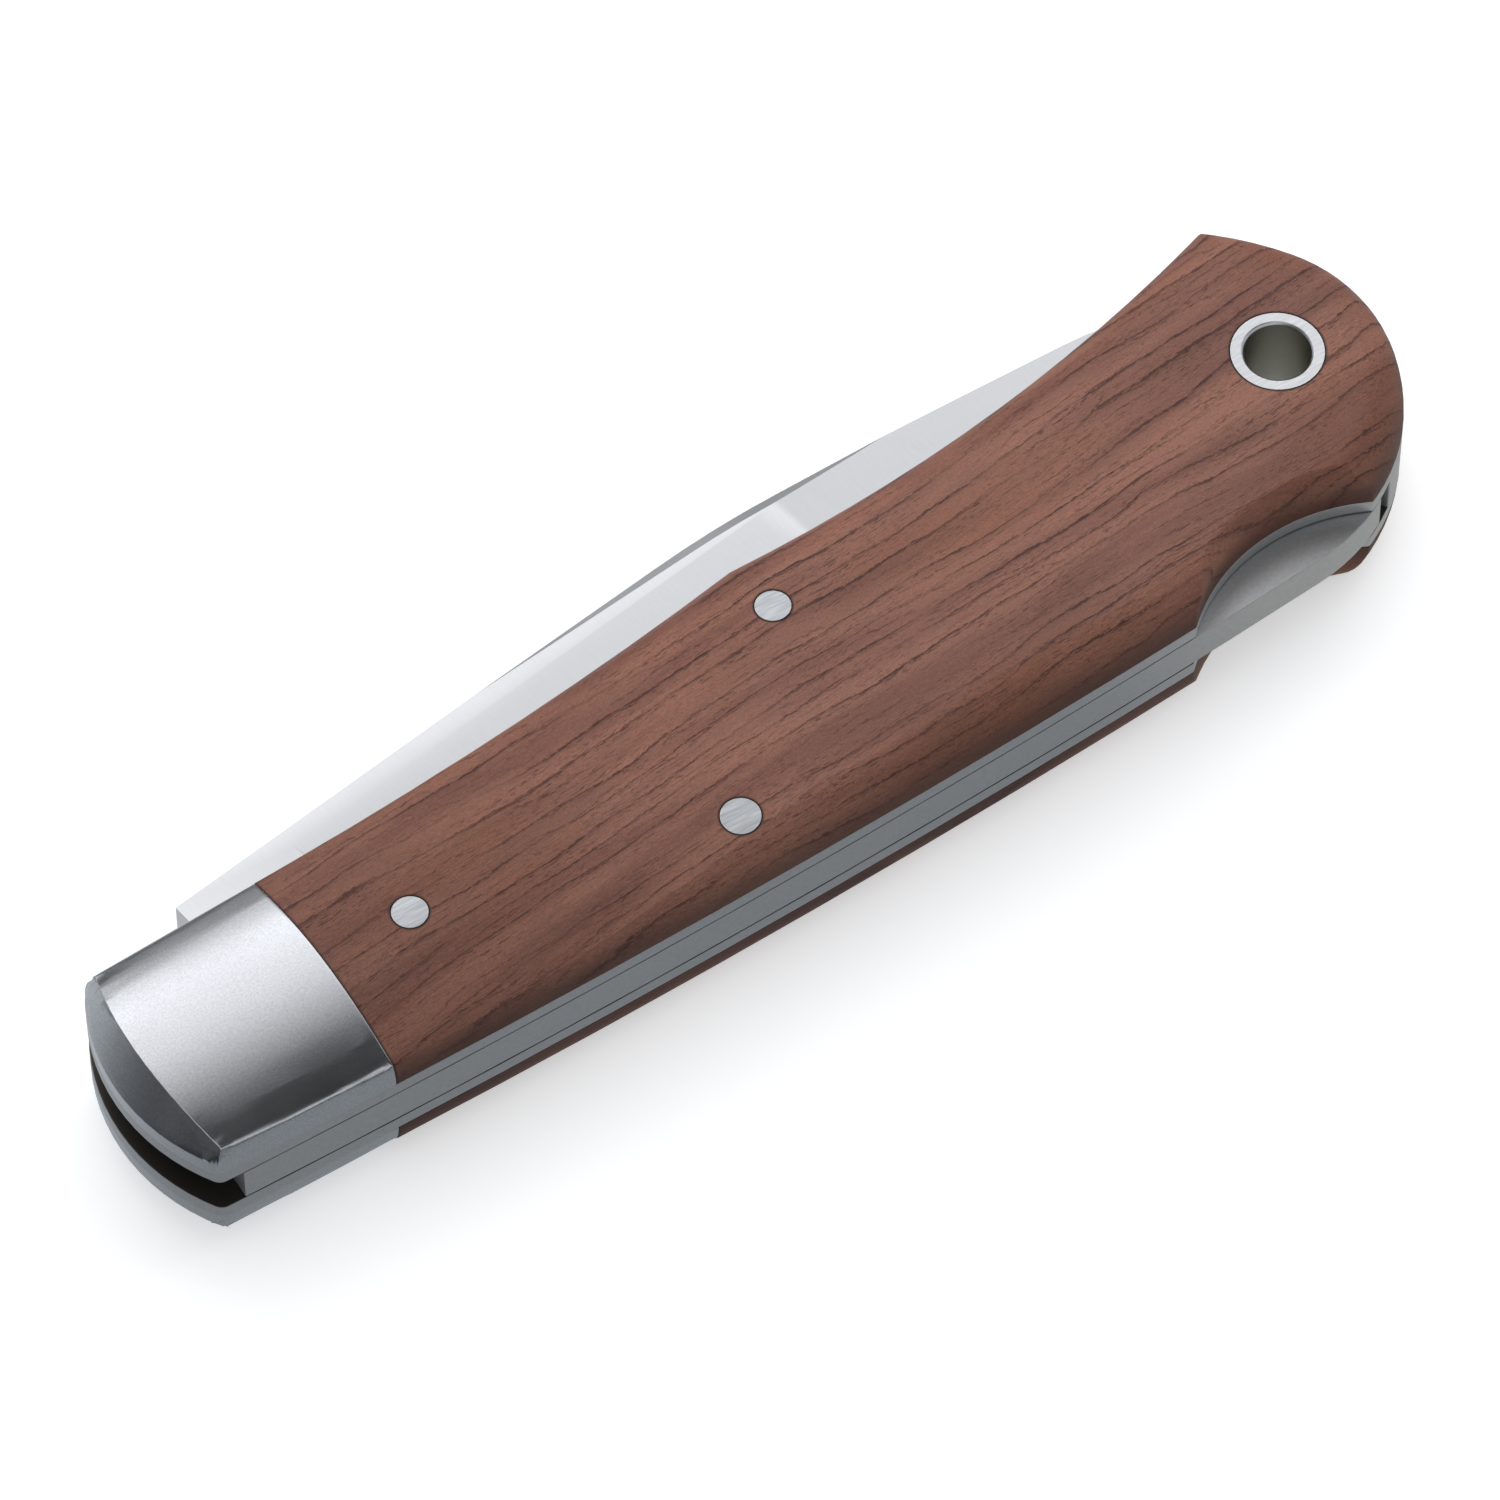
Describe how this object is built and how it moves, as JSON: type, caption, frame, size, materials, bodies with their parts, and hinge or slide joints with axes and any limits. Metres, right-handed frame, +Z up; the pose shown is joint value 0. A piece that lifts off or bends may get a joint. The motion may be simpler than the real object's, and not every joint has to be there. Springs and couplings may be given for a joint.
{
  "type": "folding pocket knife",
  "caption": "Folding pocket knife with a clip-point blade, a lock bar in its back, steel bolsters, wooden scales and a lanyard tube.",
  "frame": {"origin": "under the middle of the closed knife, on the surface that it lies on", "axes": "+X along the handle from the bolsters to the butt, +Y across it towards the side where the blade's back stands out, +Z up through its thickness"},
  "size_m": [0.1124, 0.0288, 0.014],
  "materials": {
    "blade_steel": "fine satin",
    "bolster_steel": "satin",
    "liner_steel": "ground",
    "lock_bar_steel": "ground",
    "spring_steel": "tempered and plain",
    "pin_steel": "sanded flush",
    "rosewood": "oiled rosewood"
  },
  "bodies": {
    "handle": {"liner_upper": "liner_steel", "bolster_upper": "bolster_steel", "bolster_pin_upper": "pin_steel", "scale_upper": "rosewood", "scale_pin_front_upper": "pin_steel", "scale_pin_rear_upper": "pin_steel", "liner_lower": "liner_steel", "bolster_lower": "bolster_steel", "bolster_pin_lower": "pin_steel", "scale_lower": "rosewood", "scale_pin_front_lower": "pin_steel", "scale_pin_rear_lower": "pin_steel", "back_spring": "spring_steel", "end_spacer": "liner_steel", "pivot_pin": "pin_steel", "rocker_pin": "pin_steel", "spring_pin": "pin_steel", "spacer_pin": "pin_steel", "lanyard_tube": "pin_steel"},
    "blade": {"blade": "blade_steel"},
    "lock_bar": {"lock_bar": "lock_bar_steel"}
  },
  "joints": [
    {"name": "blade_pivot", "type": "hinge", "parent": "handle", "child": "blade", "pos_m": [-0.0472, -0.00251, 0.007], "axis": [0, 0, 1], "range_deg": [0, 172.77]},
    {"name": "lock_rock", "type": "hinge", "parent": "handle", "child": "lock_bar", "pos_m": [-0.0081, -0.01079, 0.007], "axis": [0, 0, 1], "range_deg": [-1.4, 0.9], "stiffness_Nm_per_rad": 8}
  ]
}
